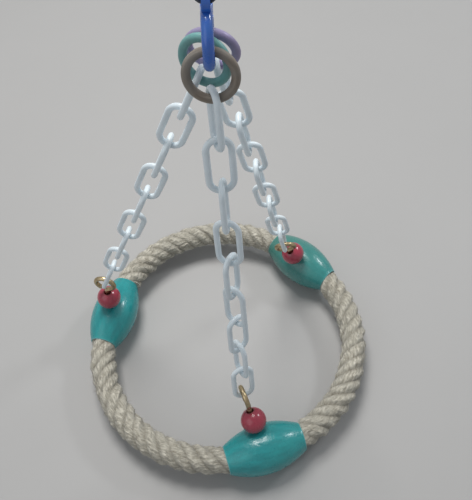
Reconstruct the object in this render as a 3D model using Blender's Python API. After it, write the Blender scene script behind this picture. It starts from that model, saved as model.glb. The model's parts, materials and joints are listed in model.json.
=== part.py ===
"""Pyramid bird toy: a rope ring hung by three chains from a clasp.

Lengths are in metres and +Z is up. The origin is the point where the toy hangs,
inside the top of the wire ring. The clasp lies in the YZ plane.
"""
import math

import bmesh
import bpy
from mathutils import Matrix, Vector

CLEARANCE = 0.0003            # between pieces that touch

# Wire ring that the toy hangs by
WIRE_RING_DIAMETER = 0.0064   # outside
WIRE_RING_WIRE = 0.0012

# Clasp
CLASP_BAR = 0.0031            # thickness of the round bar
CORNER_RADIUS = 0.0026        # of the two lower corners, to the bar's centreline
CLASP_REACH = 0.0140          # from the end eye's hole to the centreline of the bar's lowest stretch
END_EYE_THICKNESS = 0.0022
END_EYE_RIM = 0.0013          # width of material round the hole
END_EYE_OVERLAP = 0.0012      # how far the end eye runs into the bar
TIP_RISE = 0.0027             # straight stretch of the bar above its back corner
PIVOT_ANGLE = math.radians(58)  # where the bar's upper end stops, above level
TONGUE_THICKNESS = 0.0010     # the gate's tongue in the bar's slot
TONGUE_RADIUS = 0.0012
GATE_BAR = 0.0024
GATE_STOP_GAP = 0.0012        # between the gate's free end and the bar's tip
THUMB_TAB_LENGTH = 0.0020
THUMB_TAB_HEIGHT = 0.0014
PIN_DIAMETER = 0.0010
SPRING_WIRE = 0.0005          # of the spring that lies in a groove inside the bar
SPRING_START_ANGLE = math.radians(150)

# Rings between the clasp and the chains
TOP_RING_DIAMETER = 0.0156    # outside
TOP_RING_SECTION = 0.0026
TOP_RING_PITCH = 0.0046       # between neighbours along the clasp

# Chains
LINKS_PER_CHAIN = 9
LINK_INNER_LENGTH = 0.0154
LINK_WIDTH = 0.0094           # outside
LINK_WIRE = 0.0020

# Rope ring
ROPE_DIAMETER = 0.0120
ROPE_SQUEEZED = 0.0093        # diameter inside the beads
ROPE_EASING = 0.0025          # length over which the rope swells again outside a bead
RING_RADIUS = 0.0573          # from the toy's axis to the rope's centreline at a bead
BEAD_STRAIGHT = 0.0120        # the rope runs straight through the middle of each bead
RING_SHIFT = (-0.0015, 0.0008)  # the ring hangs a little off the clasp's line
ROPE_END_GAP = 0.0006         # the two ends meet inside the left bead

# Barrel beads
BARREL_LENGTH = 0.0344
BARREL_DIAMETER = 0.0213
BARREL_END_DIAMETER = 0.0124
BARREL_EDGE = 0.0004          # rounding of the end faces

# Red beads
RED_DIAMETER = 0.0109
RED_BORE_PLAY = 0.0004        # radial, so that the bead spins on the screw

# Screw eyes
EYE_DIAMETER = 0.0105         # outside
EYE_WIRE = 0.0021
EYE_PLAY = 0.0005             # between the eye and the lowest link
SHANK_SHOWN = 0.0014          # bare shank between the red bead and the eye
SCREW_DEPTH = 0.0042          # how far the point goes into the rope
SCREW_POINT_LENGTH = 0.0014
SCREW_POINT_DIAMETER = 0.0005

# Mesh steps
SHARP_ANGLE = math.radians(40)
ROUND_SIDES = 8
FINE_SIDES = 16
LINK_BEND_STEPS = 6
RING_STEPS = 24
CORNER_STEPS = 6
CROWN_STEPS = 12
BEAD_STEPS = 28
BARREL_PROFILE_STEPS = 10
ROPE_SIDES = 12
ROPE_ARC_STEPS = 12           # of a stretch between two beads
ROPE_BEAD_STEPS = 3           # of the curved stretch inside a bead's end

# One entry for each chain: its place round the rope ring, how far its bead leans inwards on the rope,
# how far its screw slants along the rope, its ring's place along the clasp, and turns about the
# screw, the chain and the ring's chain.
STATIONS = (
    {"name": "front", "azimuth": 285, "lean": 36, "slant": -7, "slot": -1,
     "eye_turn": 0, "twist": 90, "ring_turn": -26, "ring": "natural_ring"},
    {"name": "left", "azimuth": 165, "lean": 3, "slant": 0, "slot": 0,
     "eye_turn": 0, "twist": 0, "ring_turn": -12, "ring": "teal_ring"},
    {"name": "right", "azimuth": 45, "lean": 27, "slant": 3, "slot": 1,
     "eye_turn": -46, "twist": 0, "ring_turn": -15, "ring": "lilac_ring"},
)

UP = Vector((0, 0, 1))
ACROSS = Vector((1, 0, 0))    # square to the clasp's plane

# Sizes that follow from those above
wire_ring_radius = (WIRE_RING_DIAMETER - WIRE_RING_WIRE) / 2
wire_ring_centre = Vector((0, 0, WIRE_RING_WIRE / 2 - wire_ring_radius))
pivot = wire_ring_centre - wire_ring_radius * UP
seat_height = pivot.z - CLASP_REACH
clasp_half_width = TOP_RING_PITCH + CORNER_RADIUS
top_ring_radius = (TOP_RING_DIAMETER - TOP_RING_SECTION) / 2
link_bend_radius = (LINK_WIDTH - LINK_WIRE) / 2
link_pitch = LINK_INNER_LENGTH - CLEARANCE
eye_radius = (EYE_DIAMETER - EYE_WIRE) / 2
eye_height = BARREL_DIAMETER / 2 + RED_DIAMETER + SHANK_SHOWN + EYE_DIAMETER / 2 + 2 * CLEARANCE
arc_offset = BEAD_STRAIGHT / 2 / math.tan(math.pi / 3)
arc_radius = RING_RADIUS - arc_offset
barrel_sag = (BARREL_LENGTH - BEAD_STRAIGHT) ** 2 / 8 / arc_radius
barrel_bore = ROPE_SQUEEZED + barrel_sag + 2 * CLEARANCE

# Distances along a chain's line, from the centre of its screw eye
lowest_link = eye_radius - EYE_WIRE / 2 - EYE_PLAY + LINK_INNER_LENGTH / 2
highest_link = lowest_link + (LINKS_PER_CHAIN - 1) * link_pitch
top_ring_place = highest_link + LINK_INNER_LENGTH / 2 - CLEARANCE - TOP_RING_SECTION / 2 + top_ring_radius
bar_place = top_ring_place + top_ring_radius - TOP_RING_SECTION / 2 - CLEARANCE - CLASP_BAR / 2


def clear_scene():
    for old in list(bpy.data.objects):
        bpy.data.objects.remove(old, do_unlink=True)


def make_material(name, colour, roughness, metallic=0.0):
    material = bpy.data.materials.new(name)
    material.use_nodes = True
    shader = material.node_tree.nodes["Principled BSDF"]
    shader.inputs["Base Color"].default_value = (*colour, 1.0)
    shader.inputs["Roughness"].default_value = roughness
    shader.inputs["Metallic"].default_value = metallic
    material.diffuse_color = (*colour, 1.0)
    return material


def make_mesh(name, build):
    mesh = bpy.data.meshes.new(name)
    shape = bmesh.new()
    build(shape)
    bmesh.ops.recalc_face_normals(shape, faces=shape.faces)
    shape.to_mesh(mesh)
    shape.free()
    mesh.shade_smooth()
    mesh.set_sharp_from_angle(angle=SHARP_ANGLE)
    return mesh


def place(name, mesh, matrix, material=None, parent=None):
    """Put a mesh into the scene at a world matrix, under an empty that stands on a joint's axis."""
    piece = bpy.data.objects.new(name, mesh)
    bpy.context.scene.collection.objects.link(piece)
    if parent:
        piece.parent = parent
        piece.matrix_local = Matrix.Translation(-parent.location) @ matrix
    else:
        piece.matrix_world = matrix
    if material and not mesh.materials:
        mesh.materials.append(material)
    return piece


def make_pivot(name, location):
    empty = bpy.data.objects.new(name, None)
    empty.location = location
    bpy.context.scene.collection.objects.link(empty)
    return empty


def combine(piece, tool, operation):
    """Cut or join a piece with a hidden tool."""
    tool.hide_render = True
    tool.display_type = "WIRE"
    modifier = piece.modifiers.new(tool.name, "BOOLEAN")
    modifier.object = tool
    modifier.operation = operation
    modifier.solver = "EXACT"


def axes(x_axis, z_axis, origin):
    """World matrix with the given local X and Z directions."""
    z_axis = z_axis.normalized()
    x_axis = (x_axis - x_axis.dot(z_axis) * z_axis).normalized()
    y_axis = z_axis.cross(x_axis)
    matrix = Matrix((x_axis, y_axis, z_axis)).transposed().to_4x4()
    matrix.translation = origin
    return matrix


def bridge(shape, loops, closed):
    """Join loops of vertices with quads, and cap the two ends of an open run."""
    pairs = list(zip(loops, loops[1:]))
    if closed:
        pairs.append((loops[-1], loops[0]))
    for first, second in pairs:
        count = len(first)
        for index in range(count):
            following = (index + 1) % count
            shape.faces.new((first[index], first[following], second[following], second[index]))
    if not closed:
        shape.faces.new(loops[0])
        shape.faces.new(reversed(loops[-1]))


def tube_mesh(name, path, normal, diameter, sides, closed=False):
    """Round bar along a flat path, whose plane is square to normal.

    The diameter is one value, or a list with a value for each point of the path.
    """
    count = len(path)
    diameters = diameter if isinstance(diameter, list) else [diameter] * count

    def build(shape):
        loops = []
        for index, point in enumerate(path):
            before = path[index - 1] if closed or index else point
            after = path[(index + 1) % count] if closed or index < count - 1 else point
            outward = (after - before).normalized().cross(normal)
            loop = []
            for side in range(sides):
                angle = math.tau * (side + 0.5) / sides
                offset = math.cos(angle) * outward + math.sin(angle) * normal
                loop.append(shape.verts.new(point + diameters[index] / 2 * offset))
            loops.append(loop)
        bridge(shape, loops, closed)

    return make_mesh(name, build)


def turned_mesh(name, profile, steps, bored=False):
    """Solid turned about Z from a profile of (radius, height). A bored one has a closed profile."""
    def build(shape):
        loops = []
        for radius, height in profile:
            loop = []
            for step in range(steps):
                angle = math.tau * step / steps
                loop.append(shape.verts.new((radius * math.cos(angle), radius * math.sin(angle), height)))
            loops.append(loop)
        bridge(shape, loops, bored)

    return make_mesh(name, build)


def arc(centre, radius, start, end, steps, first=ACROSS, second=UP):
    """Points of an arc from start to end, measured from the first direction to the second."""
    points = []
    for step in range(steps + 1):
        angle = start + (end - start) * step / steps
        points.append(centre + radius * (math.cos(angle) * first + math.sin(angle) * second))
    return points


def ring_mesh(name, radius, section, steps=RING_STEPS):
    """Ring of round section about its own Z."""
    path = arc(Vector(), radius, 0, math.tau, steps, ACROSS, Vector((0, 1, 0)))[:-1]
    return tube_mesh(name, path, UP, section, ROUND_SIDES, closed=True)


def link_mesh():
    """Chain link with its length along Z and its width along X."""
    half = (LINK_INNER_LENGTH + LINK_WIRE) / 2 - link_bend_radius
    path = arc(half * UP, link_bend_radius, 0, math.pi, LINK_BEND_STEPS)
    path += arc(-half * UP, link_bend_radius, math.pi, math.tau, LINK_BEND_STEPS)
    return tube_mesh("chain_link", path, Vector((0, -1, 0)), LINK_WIRE, ROUND_SIDES, closed=True)


def barrel_mesh():
    """Barrel bead about Z, with flat ends and a bore for the rope."""
    rise = (BARREL_DIAMETER - BARREL_END_DIAMETER) / 2
    half = BARREL_LENGTH / 2
    profile = [(barrel_bore / 2, half), (BARREL_END_DIAMETER / 2 - BARREL_EDGE, half)]
    for step in range(BARREL_PROFILE_STEPS + 1):
        place_along = 1 - 2 * step / BARREL_PROFILE_STEPS
        radius = BARREL_DIAMETER / 2 - rise * place_along ** 2
        profile.append((radius, place_along * (half - BARREL_EDGE)))
    profile += [(BARREL_END_DIAMETER / 2 - BARREL_EDGE, -half), (barrel_bore / 2, -half)]
    return turned_mesh("barrel_bead", profile, BEAD_STEPS, bored=True)


def red_bead_mesh():
    """Round bead about Z, bored for the screw."""
    bore = EYE_WIRE / 2 + RED_BORE_PLAY
    edge = math.acos(bore / (RED_DIAMETER / 2))
    profile = []
    for step in range(BARREL_PROFILE_STEPS + 1):
        angle = edge - 2 * edge * step / BARREL_PROFILE_STEPS
        profile.append((RED_DIAMETER / 2 * math.cos(angle), RED_DIAMETER / 2 * math.sin(angle)))
    return turned_mesh("red_bead", profile, BEAD_STEPS, bored=True)


def shank_mesh():
    """Screw below the eye's centre, down Z to its point."""
    point = -(eye_height - ROPE_SQUEEZED / 2 + SCREW_DEPTH)
    profile = [
        (EYE_WIRE / 2, -eye_radius),
        (EYE_WIRE / 2, point + SCREW_POINT_LENGTH),
        (SCREW_POINT_DIAMETER / 2, point),
    ]
    return turned_mesh("screw_shank", profile, FINE_SIDES)


def screw_hole_mesh():
    """Hole for the screw in the barrel bead and the rope, from the bead's top past the screw's point."""
    point = -(eye_height - ROPE_SQUEEZED / 2 + SCREW_DEPTH)
    radius = EYE_WIRE / 2 + CLEARANCE
    top = -(EYE_DIAMETER / 2 + SHANK_SHOWN + RED_DIAMETER / 2)
    profile = [(radius, top), (radius, point - CLEARANCE)]
    return turned_mesh("screw_hole", profile, FINE_SIDES)


def station_frames():
    """Work out where each bead, screw eye and chain stands, and the centre of the rope ring.

    The chains are straight. The left one sets the ring's height, and the links of the other two
    ease by a little at each joint until they just reach from eye to clasp.
    """
    frames = {}
    for station in STATIONS:
        azimuth = math.radians(station["azimuth"])
        lean = math.radians(station["lean"])
        outward = Vector((math.cos(azimuth), math.sin(azimuth), 0))
        tangent = UP.cross(outward)
        slant = math.radians(station["slant"])
        upright = math.cos(lean) * UP - math.sin(lean) * outward
        frames[station["name"]] = {
            "outward": outward,
            "tangent": tangent,
            "screw": math.cos(slant) * upright + math.sin(slant) * tangent,
            "across": math.cos(slant) * tangent - math.sin(slant) * upright,
            "seat": Vector((0, station["slot"] * TOP_RING_PITCH, seat_height)),
        }

    left = frames["left"]
    centre = Vector((*RING_SHIFT, 0))
    reach = left["seat"] - centre - RING_RADIUS * left["outward"] - eye_height * left["screw"]
    drop = math.sqrt(bar_place ** 2 - reach.x ** 2 - reach.y ** 2)
    centre.z = seat_height - drop - eye_height * left["screw"].z

    for frame in frames.values():
        frame["bead"] = centre + RING_RADIUS * frame["outward"]
        frame["eye"] = frame["bead"] + eye_height * frame["screw"]
        reach = frame["seat"] - frame["eye"]
        frame["line"] = reach.normalized()
        frame["spare"] = bar_place - reach.length
    return frames, centre


def make_wire_ring(materials):
    mesh = ring_mesh("wire_ring", wire_ring_radius, WIRE_RING_WIRE)
    place("wire_ring", mesh, axes(ACROSS, Vector((0, 1, 0)), wire_ring_centre), materials["dark steel"])


def make_clasp(materials):
    """Clasp body, gate, pin and spring. Paths are in the YZ plane."""
    body_pivot = make_pivot("clasp_pivot", pivot)
    back = Vector((0, 1, 0))
    hole_rise = wire_ring_radius - math.sqrt(wire_ring_radius ** 2 - (END_EYE_THICKNESS / 2) ** 2)
    hole = WIRE_RING_WIRE / 2 + hole_rise + CLEARANCE
    crown = pivot - (hole + END_EYE_RIM - END_EYE_OVERLAP + CLASP_BAR / 2) * UP
    crown_centre = crown - clasp_half_width * UP

    corner = Vector((0, TOP_RING_PITCH, seat_height + CORNER_RADIUS))
    far_corner = corner - 2 * TOP_RING_PITCH * back
    tip = corner + CORNER_RADIUS * back + TIP_RISE * UP
    path = [tip]
    path += arc(corner, CORNER_RADIUS, 0, -math.pi / 2, CORNER_STEPS, back)
    path += arc(far_corner, CORNER_RADIUS, -math.pi / 2, -math.pi, CORNER_STEPS, back)
    path += arc(crown_centre, clasp_half_width, math.pi, PIVOT_ANGLE, CROWN_STEPS, back)
    gate_pivot = path[-1]
    body = place("clasp_body", tube_mesh("clasp_body", path, ACROSS, CLASP_BAR, FINE_SIDES),
                 Matrix(), materials["blue enamel"], body_pivot)

    def disc(name, centre, radius, thickness):
        profile = [(radius, -thickness / 2), (radius, thickness / 2)]
        mesh = turned_mesh(name, profile, RING_STEPS)
        return place(name, mesh, axes(UP, ACROSS, centre))

    knuckle = CLASP_BAR / 2
    combine(body, disc("end_eye", pivot, hole + END_EYE_RIM, END_EYE_THICKNESS), "UNION")
    combine(body, disc("end_eye_hole", pivot, hole, 2 * CLASP_BAR), "DIFFERENCE")
    combine(body, disc("gate_knuckle", gate_pivot, knuckle, CLASP_BAR), "UNION")
    slot_width = TONGUE_THICKNESS + 2 * CLEARANCE
    combine(body, disc("gate_slot", gate_pivot, knuckle + CLEARANCE, slot_width), "DIFFERENCE")
    pin_hole = PIN_DIAMETER / 2 + CLEARANCE
    combine(body, disc("pin_hole", gate_pivot, pin_hole, 2 * CLASP_BAR), "DIFFERENCE")

    pin = turned_mesh("gate_pin", [(PIN_DIAMETER / 2, -CLASP_BAR / 2), (PIN_DIAMETER / 2, CLASP_BAR / 2)],
                      FINE_SIDES)
    place("gate_pin", pin, axes(UP, ACROSS, gate_pivot), materials["dark steel"], body_pivot)

    down = (tip - gate_pivot).normalized()
    aside = ACROSS.cross(down)
    shoulder = gate_pivot + (knuckle + 2 * CLEARANCE) * down
    free_end = tip - GATE_STOP_GAP * down
    middle = (shoulder + free_end) / 2
    gate_path = [shoulder - gate_pivot, middle - gate_pivot, free_end - gate_pivot]
    gate = place("clasp_gate", tube_mesh("clasp_gate", gate_path, ACROSS, GATE_BAR, FINE_SIDES),
                 Matrix.Translation(gate_pivot), materials["blue enamel"], body_pivot)
    tongue_end = shoulder + GATE_BAR / 2 * down
    tongue_length = (tongue_end - gate_pivot).length

    def tongue(shape):
        bmesh.ops.create_cube(shape, size=1)
        bmesh.ops.scale(shape, vec=(TONGUE_THICKNESS, 2 * TONGUE_RADIUS, tongue_length), verts=shape.verts)

    blade = place("gate_tongue", make_mesh("gate_tongue", tongue),
                  axes(ACROSS, down, (gate_pivot + tongue_end) / 2))
    combine(gate, disc("gate_tongue_end", gate_pivot, TONGUE_RADIUS, TONGUE_THICKNESS), "UNION")
    combine(gate, blade, "UNION")
    combine(gate, disc("gate_hole", gate_pivot, pin_hole, 2 * CLASP_BAR), "DIFFERENCE")

    outside = aside if aside.dot(back) > 0 else -aside
    tab_centre = middle + GATE_BAR / 2 * outside

    def tab(shape):
        bmesh.ops.create_cube(shape, size=1)
        size = (GATE_BAR / 2, 2 * THUMB_TAB_HEIGHT, THUMB_TAB_LENGTH)
        bmesh.ops.scale(shape, vec=size, verts=shape.verts)

    combine(gate, place("thumb_tab", make_mesh("thumb_tab", tab), axes(ACROSS, down, tab_centre)), "UNION")

    # The spring's end stands just clear of the tongue, beside the pin
    spring_radius = clasp_half_width - CLASP_BAR / 2 + SPRING_WIRE / 2
    end_distance = TONGUE_RADIUS + CLEARANCE + SPRING_WIRE / 2
    squares = clasp_half_width ** 2 + spring_radius ** 2 - end_distance ** 2
    spring_end = PIVOT_ANGLE + math.acos(squares / (2 * clasp_half_width * spring_radius))
    spring_path = arc(crown_centre, spring_radius, SPRING_START_ANGLE, spring_end, CROWN_STEPS, back)
    place("gate_spring", tube_mesh("gate_spring", spring_path, ACROSS, SPRING_WIRE, ROUND_SIDES), Matrix(),
          materials["dark steel"], body_pivot)
    spare = 2 * CLEARANCE / spring_radius
    groove_path = arc(crown_centre, spring_radius, SPRING_START_ANGLE + spare, PIVOT_ANGLE, CROWN_STEPS, back)
    groove = tube_mesh("spring_groove", groove_path, ACROSS, SPRING_WIRE + 2 * CLEARANCE, ROUND_SIDES)
    combine(body, place("spring_groove", groove, Matrix()), "DIFFERENCE")


def make_rope(materials, ring_centre, parent):
    """Rope along three straight stretches and three arcs, cut where its ends meet in the left bead."""
    left = next(station for station in STATIONS if station["name"] == "left")
    half = BEAD_STRAIGHT / 2
    turn = math.tau / 3
    # Angles along an arc: where its centreline leaves a bead, where the rope's inner side is out too,
    # and where the rope has its full diameter again
    leaving = (BARREL_LENGTH / 2 - half) / arc_radius
    clear = leaving + ROPE_DIAMETER / 2 * leaving / arc_radius
    swollen = clear + ROPE_EASING / arc_radius
    stretches = [
        (0, clear, ROPE_BEAD_STEPS, ROPE_SQUEEZED),
        (swollen, turn - swollen, ROPE_ARC_STEPS, ROPE_DIAMETER),
        (turn - clear, turn, ROPE_BEAD_STEPS, ROPE_SQUEEZED),
    ]
    path = []
    diameters = []
    for corner in range(3):
        azimuth = math.radians(left["azimuth"]) + corner * turn
        outward = Vector((math.cos(azimuth), math.sin(azimuth), 0))
        tangent = UP.cross(outward)
        path.append(RING_RADIUS * outward)
        diameters.append(ROPE_SQUEEZED)
        centre = (RING_RADIUS - arc_radius) * outward + half * tangent
        for first_angle, last_angle, steps, diameter in stretches:
            path += arc(centre, arc_radius, first_angle, last_angle, steps, outward, tangent)
            diameters += [diameter] * (steps + 1)
    end_gap = ROPE_END_GAP * (path[1] - path[0]).normalized()
    path.append(path[0] - end_gap / 2)
    diameters.append(ROPE_SQUEEZED)
    path[0] = path[0] + end_gap / 2
    mesh = tube_mesh("rope_ring", path, UP, diameters, ROPE_SIDES)
    return place("rope_ring", mesh, Matrix.Translation(ring_centre), materials["rope"], parent)


def make_stations(materials, frames, rope, parent):
    """Barrel bead, red bead, screw eye, chain and top ring at each of the three places."""
    link = link_mesh()
    link.materials.append(materials["white plastic"])
    eye_mesh = ring_mesh("screw_eye_loop", eye_radius, EYE_WIRE)
    shank = shank_mesh()
    hole = screw_hole_mesh()
    barrel = barrel_mesh()
    red_bead = red_bead_mesh()
    for station in STATIONS:
        name = station["name"]
        frame = frames[name]
        screw = frame["screw"]
        line = frame["line"]
        upright = axes(frame["across"], screw, frame["eye"])

        barrel_axis = axes(screw, frame["tangent"], frame["bead"] - barrel_sag / 2 * frame["outward"])
        barrel_bead = place(f"barrel_bead_{name}", barrel.copy(), barrel_axis, materials["teal paint"],
                            parent)
        cutter = place(f"screw_hole_{name}", hole, upright)
        combine(barrel_bead, cutter, "DIFFERENCE")
        combine(rope, cutter, "DIFFERENCE")

        red_place = frame["bead"] + (BARREL_DIAMETER / 2 + CLEARANCE + RED_DIAMETER / 2) * screw
        place(f"red_bead_{name}", red_bead.copy(), axes(frame["across"], screw, red_place),
              materials["red paint"], parent)

        turned = Matrix.Rotation(math.radians(station["eye_turn"]), 3, screw) @ frame["across"]
        eye = place(f"screw_eye_{name}", eye_mesh.copy(), axes(screw, turned, frame["eye"]),
                    materials["brass"], parent)
        combine(eye, place(f"screw_shank_{name}", shank, upright), "UNION")

        joints = LINKS_PER_CHAIN - 1
        step = math.radians(90) + math.radians(station["twist"]) / joints
        pitch = link_pitch - frame["spare"] / joints
        for index in range(LINKS_PER_CHAIN):
            width = Matrix.Rotation(step * index, 3, line) @ turned
            centre = frame["eye"] + (lowest_link + index * pitch) * line
            number = LINKS_PER_CHAIN - index
            place(f"link_{name}_{number}", link, axes(width, line, centre), None, parent)

        facing = Matrix.Rotation(math.radians(station["ring_turn"]), 3, line) @ width
        facing = (facing - facing.dot(line) * line).normalized()
        top_ring = ring_mesh(station["ring"], top_ring_radius, TOP_RING_SECTION)
        ring_centre = frame["eye"] + (top_ring_place - frame["spare"]) * line
        place(station["ring"], top_ring, axes(line, facing, ring_centre), materials[station["ring"]], parent)


def main():
    clear_scene()
    materials = {
        "dark steel": make_material("dark steel", (0.08, 0.085, 0.10), 0.35, 1.0),
        "blue enamel": make_material("blue enamel", (0.02, 0.10, 0.38), 0.25),
        "white plastic": make_material("white plastic", (0.78, 0.82, 0.84), 0.35),
        "brass": make_material("brass", (0.62, 0.45, 0.20), 0.30, 1.0),
        "red paint": make_material("red paint", (0.42, 0.02, 0.03), 0.18),
        "teal paint": make_material("teal paint", (0.04, 0.34, 0.36), 0.22),
        "rope": make_material("rope", (0.52, 0.44, 0.31), 0.90),
        "natural_ring": make_material("natural wood", (0.36, 0.26, 0.18), 0.55),
        "teal_ring": make_material("pale teal plastic", (0.16, 0.44, 0.42), 0.35),
        "lilac_ring": make_material("lilac plastic", (0.36, 0.30, 0.55), 0.35),
    }
    frames, ring_centre = station_frames()
    pyramid = make_pivot("pyramid_pivot", seat_height * UP)
    make_wire_ring(materials)
    make_clasp(materials)
    rope = make_rope(materials, ring_centre, pyramid)
    make_stations(materials, frames, rope, pyramid)


main()
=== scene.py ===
import json
import math

import bmesh
import bpy
import numpy as np
from mathutils import Matrix, Vector, noise


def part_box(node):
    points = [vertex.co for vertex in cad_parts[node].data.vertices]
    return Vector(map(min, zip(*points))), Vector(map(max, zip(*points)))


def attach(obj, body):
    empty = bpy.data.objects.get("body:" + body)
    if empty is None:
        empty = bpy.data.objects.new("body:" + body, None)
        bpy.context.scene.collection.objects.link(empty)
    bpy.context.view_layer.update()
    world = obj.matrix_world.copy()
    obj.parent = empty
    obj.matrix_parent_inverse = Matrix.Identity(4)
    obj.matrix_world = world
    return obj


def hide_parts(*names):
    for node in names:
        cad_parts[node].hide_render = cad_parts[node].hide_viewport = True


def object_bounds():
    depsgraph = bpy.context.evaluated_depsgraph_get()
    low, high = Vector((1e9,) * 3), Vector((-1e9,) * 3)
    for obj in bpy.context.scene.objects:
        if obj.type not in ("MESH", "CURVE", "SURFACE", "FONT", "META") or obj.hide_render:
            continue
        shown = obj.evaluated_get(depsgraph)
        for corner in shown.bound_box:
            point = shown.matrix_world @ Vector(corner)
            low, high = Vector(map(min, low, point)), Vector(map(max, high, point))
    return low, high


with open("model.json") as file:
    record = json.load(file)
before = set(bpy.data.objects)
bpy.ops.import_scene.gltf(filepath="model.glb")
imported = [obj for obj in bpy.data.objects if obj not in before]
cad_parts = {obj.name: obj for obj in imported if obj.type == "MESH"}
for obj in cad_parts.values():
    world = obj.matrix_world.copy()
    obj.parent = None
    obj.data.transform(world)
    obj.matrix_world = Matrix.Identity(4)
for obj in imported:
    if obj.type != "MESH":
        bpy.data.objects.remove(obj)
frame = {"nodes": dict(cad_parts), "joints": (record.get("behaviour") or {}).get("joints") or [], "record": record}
cadLow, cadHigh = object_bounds()
nodes = frame["nodes"]
joints = {joint["name"]: joint for joint in frame["joints"]}
openings = {opening["name"]: opening["box_m"] for opening in frame["record"]["physics"]["openings"]}
holeLow, holeHigh = openings["ring_hole"]
ringCentre = (Vector(holeLow) + Vector(holeHigh)) / 2
up = Vector((0, 0, 1))
print("frame loaded:", len(nodes), "nodes, ring centre", [round(value, 4) for value in ringCentre])


def onCircle(radius, angle):
    return radius * math.cos(angle), radius * math.sin(angle)


def outwardAt(angle):
    return Vector((*onCircle(1, angle), 0))


# where the three beads stand round the rope ring, and which small ring each chain ends in
stations = {
    "front": {"azimuth": 285, "topRing": "natural_ring"},
    "left": {"azimuth": 165, "topRing": "teal_ring"},
    "right": {"azimuth": 45, "topRing": "lilac_ring"},
}
for name, station in stations.items():
    spin = joints["red_bead_" + name + "_spin"]
    station["outward"] = outwardAt(math.radians(station["azimuth"]))
    station["tangent"] = up.cross(station["outward"])
    station["screw"] = Vector(spin["axis"]).normalized()
    station["red"] = Vector(spin["pos_m"])


# camera

cameraView = {
    "focal": 599.9, "imageHeight": 500,    # in pixels of a 472 x 500 image
    "sensor": 36, "nearest": 0.01, "farthest": 20,
    "pitch": 55.73, "yaw": 0.43, "roll": 2.31,    # in degrees
    "distance": 0.2895, "aside": -0.0063, "rise": -0.0408,    # from the ring's centre
}


def makeCamera():
    pitch = math.radians(cameraView["pitch"])
    roll = math.radians(cameraView["roll"])
    turnBack = Matrix.Rotation(-math.radians(cameraView["yaw"]), 3, "Z")
    forward = Vector((0, math.cos(pitch), -math.sin(pitch)))
    right = Vector((1, 0, 0))
    top = Vector((0, math.sin(pitch), math.cos(pitch)))
    place = -forward * cameraView["distance"] - right * cameraView["aside"] - top * cameraView["rise"]
    xAxis = turnBack @ (math.cos(roll) * right - math.sin(roll) * top)
    yAxis = turnBack @ (math.sin(roll) * right + math.cos(roll) * top)
    zAxis = turnBack @ -forward
    data = bpy.data.cameras.new("photoCamera")
    data.sensor_fit = "AUTO"
    data.sensor_width = cameraView["sensor"]
    data.lens = cameraView["sensor"] * cameraView["focal"] / cameraView["imageHeight"]
    data.clip_start = cameraView["nearest"]
    data.clip_end = cameraView["farthest"]
    camera = bpy.data.objects.new("photoCamera", data)
    matrix = Matrix((xAxis, yAxis, zAxis)).transposed().to_4x4()
    matrix.translation = ringCentre + turnBack @ place
    camera.matrix_world = matrix
    bpy.context.scene.collection.objects.link(camera)
    bpy.context.scene.camera = camera


makeCamera()
print("camera set")


# node helpers

def isSocket(value):
    return hasattr(value, "is_linked")


def feed(tree, source, target):
    tree.links.new(source, target)


# a new node: each input is fed from a socket or set to a number
def addNode(tree, kind, inputs=None, **settings):
    node = tree.nodes.new(kind)
    for key, value in settings.items():
        setattr(node, key, value)
    for key, value in (inputs or {}).items():
        if isSocket(value):
            feed(tree, value, node.inputs[key])
        else:
            node.inputs[key].default_value = value
    return node


def compute(tree, operation, *values, clamp=False):
    inputs = dict(enumerate(values))
    return addNode(tree, "ShaderNodeMath", inputs, operation=operation, use_clamp=clamp).outputs[0]


def newGroup(name, inputs, outputs):
    group = bpy.data.node_groups.new(name, "ShaderNodeTree")
    for label, value in inputs.items():
        socket = group.interface.new_socket(name=label, in_out="INPUT", socket_type="NodeSocketFloat")
        socket.default_value = value
    for label in outputs:
        group.interface.new_socket(name=label, in_out="OUTPUT", socket_type="NodeSocketFloat")
    return group, addNode(group, "NodeGroupInput"), addNode(group, "NodeGroupOutput")


def useGroup(tree, group, values):
    return addNode(tree, "ShaderNodeGroup", values, node_tree=group)


# streaks that run along V of the piece's own UV map, as wood grain or fibres do
def makeStreaks():
    group, start, end = newGroup(
        "lengthwiseStreaks", {"Across": 40.0, "Along": 60.0, "Lean": 0.0, "Contrast": 1.5}, ["Streak", "Patch"])
    uv = addNode(group, "ShaderNodeUVMap", uv_map="pieceUv")
    split = addNode(group, "ShaderNodeSeparateXYZ", {0: uv.outputs["UV"]})
    across = compute(group, "MULTIPLY", split.outputs["X"], start.outputs["Across"])
    along = compute(group, "MULTIPLY", split.outputs["Y"], start.outputs["Along"])
    leaning = compute(group, "MULTIPLY_ADD", split.outputs["Y"], start.outputs["Lean"], across)
    join = addNode(group, "ShaderNodeCombineXYZ", {0: leaning, 1: along})
    fine = addNode(group, "ShaderNodeTexNoise", {
        "Vector": join.outputs[0], "Scale": 1.0, "Detail": 5.0, "Roughness": 0.62})
    centred = compute(group, "SUBTRACT", fine.outputs["Fac"], 0.5)
    stretched = compute(group, "MULTIPLY_ADD", centred, start.outputs["Contrast"], 0.5, clamp=True)
    coords = addNode(group, "ShaderNodeTexCoord")
    patch = addNode(group, "ShaderNodeTexNoise", {
        "Vector": coords.outputs["Object"], "Scale": 160.0, "Detail": 3.0})
    feed(group, stretched, end.inputs["Streak"])
    feed(group, patch.outputs["Fac"], end.inputs["Patch"])
    return group


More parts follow.
